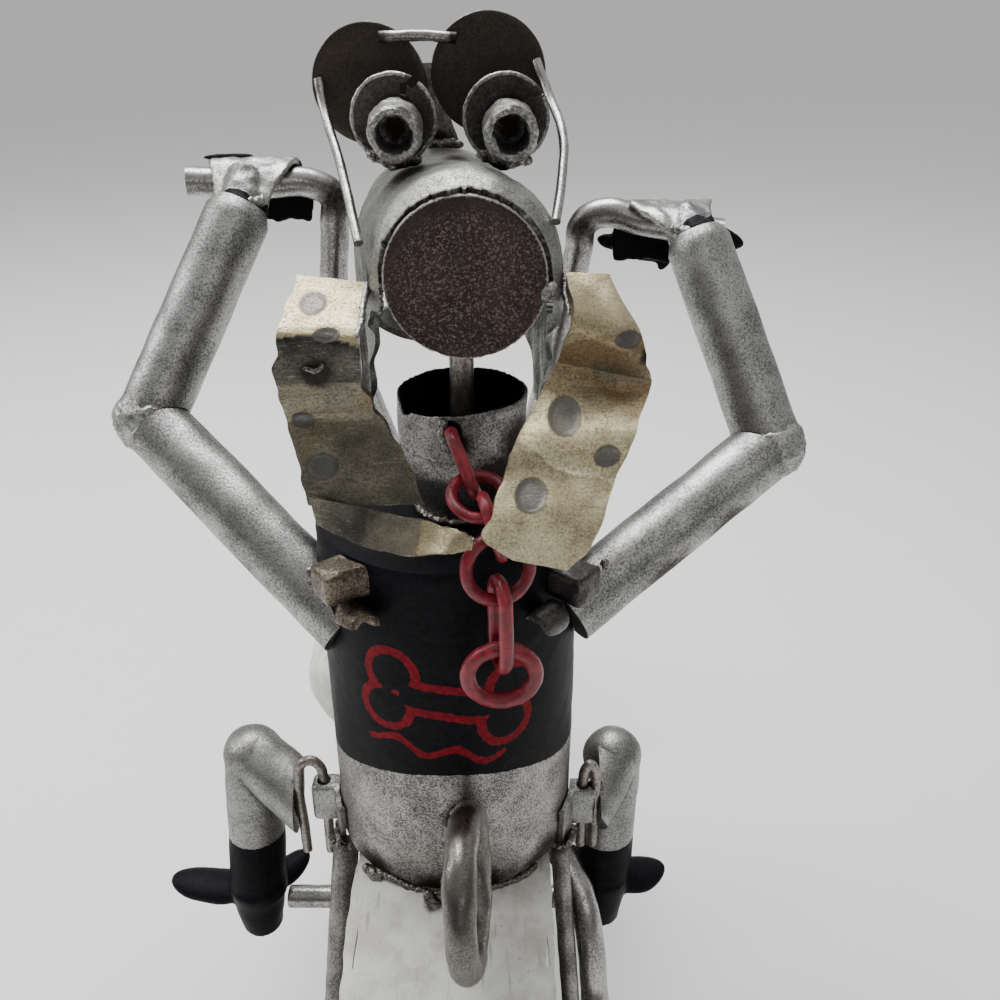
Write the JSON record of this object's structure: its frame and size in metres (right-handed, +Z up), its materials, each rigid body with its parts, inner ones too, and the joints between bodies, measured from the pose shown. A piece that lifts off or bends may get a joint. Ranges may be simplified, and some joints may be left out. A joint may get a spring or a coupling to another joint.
{
  "type": "scrap metal dog sculpture",
  "caption": "Dog welded from scrap pipe and sheet metal, riding a motorcycle with high handlebars, in glasses and a black painted vest.",
  "frame": {"origin": "on the ground, at the middle of the stand's foot bar, under the pipe body", "axes": "+Z up, +Y the way the dog and the motorcycle face, +X to the right seen from behind"},
  "size_m": [0.2149, 0.3384, 0.3616],
  "materials": {
    "zinc_pipe": "speckled galvanised pipe and sheet, bare metal worn through",
    "bright_rod": "plain steel rod and wire with weld spatter",
    "dark_steel": "dark oily steel, a little rust at the cut ends",
    "pitted_disc": "dark brown oxide, densely pitted with pale specks",
    "zinc_yellow": "dull yellow zinc plating, scratched",
    "red_paint": "worn red paint with pinkish edges",
    "white_paint": "aged off-white paint, stained and chipped",
    "vest_paint": "black paint above, speckled bare pipe below",
    "wheel_steel": "dull black paint"
  },
  "bodies": {
    "root": {"body_pipe": "vest_paint", "head_hood": "zinc_pipe", "neck_rod": "bright_rod", "head_back_disc": "pitted_disc", "nose_slug": "dark_steel", "lower_jaw": "zinc_pipe", "eye_washer_left": "bright_rod", "eye_tube_left": "bright_rod", "eye_washer_right": "bright_rod", "eye_tube_right": "bright_rod", "lens_disc_left": "dark_steel", "lens_disc_right": "dark_steel", "glasses_post": "bright_rod", "glasses_bridge": "bright_rod", "temple_wire_left": "bright_rod", "temple_wire_right": "bright_rod", "ear_right": "zinc_yellow", "ear_left": "zinc_yellow", "chain_link_1": "red_paint", "chain_link_2": "red_paint", "chain_link_3": "red_paint", "chain_link_4": "red_paint", "chain_link_5": "red_paint", "chain_ring": "red_paint", "neck_cup": "zinc_pipe", "handlebar_left": "bright_rod", "handlebar_right": "bright_rod", "upper_arm_left": "zinc_pipe", "forearm_left": "zinc_pipe", "upper_arm_right": "zinc_pipe", "forearm_right": "zinc_pipe", "hip_hook_left": "bright_rod", "hip_strap_left": "bright_rod", "hip_hook_right": "bright_rod", "hip_strap_right": "bright_rod", "thigh_left": "zinc_pipe", "shin_left": "zinc_pipe", "thigh_right": "zinc_pipe", "shin_right": "zinc_pipe", "shoulder_stub_left": "dark_steel", "shoulder_tab_left": "bright_rod", "shoulder_stub_right": "dark_steel", "shoulder_tab_right": "bright_rod", "tail_ring": "dark_steel", "rear_fender": "white_paint", "rear_wheel": "wheel_steel", "front_wheel": "wheel_steel", "stay_left": "bright_rod", "stay_right": "bright_rod", "exhaust_pipe": "bright_rod", "backbone": "dark_steel", "steering_tube": "dark_steel", "tank": "white_paint", "front_fork": "bright_rod", "engine": "dark_steel", "frame_rail_left": "dark_steel", "foot_peg_left": "dark_steel", "frame_rail_right": "dark_steel", "foot_peg_right": "dark_steel", "prop_stand": "dark_steel"}
  },
  "joints": []
}
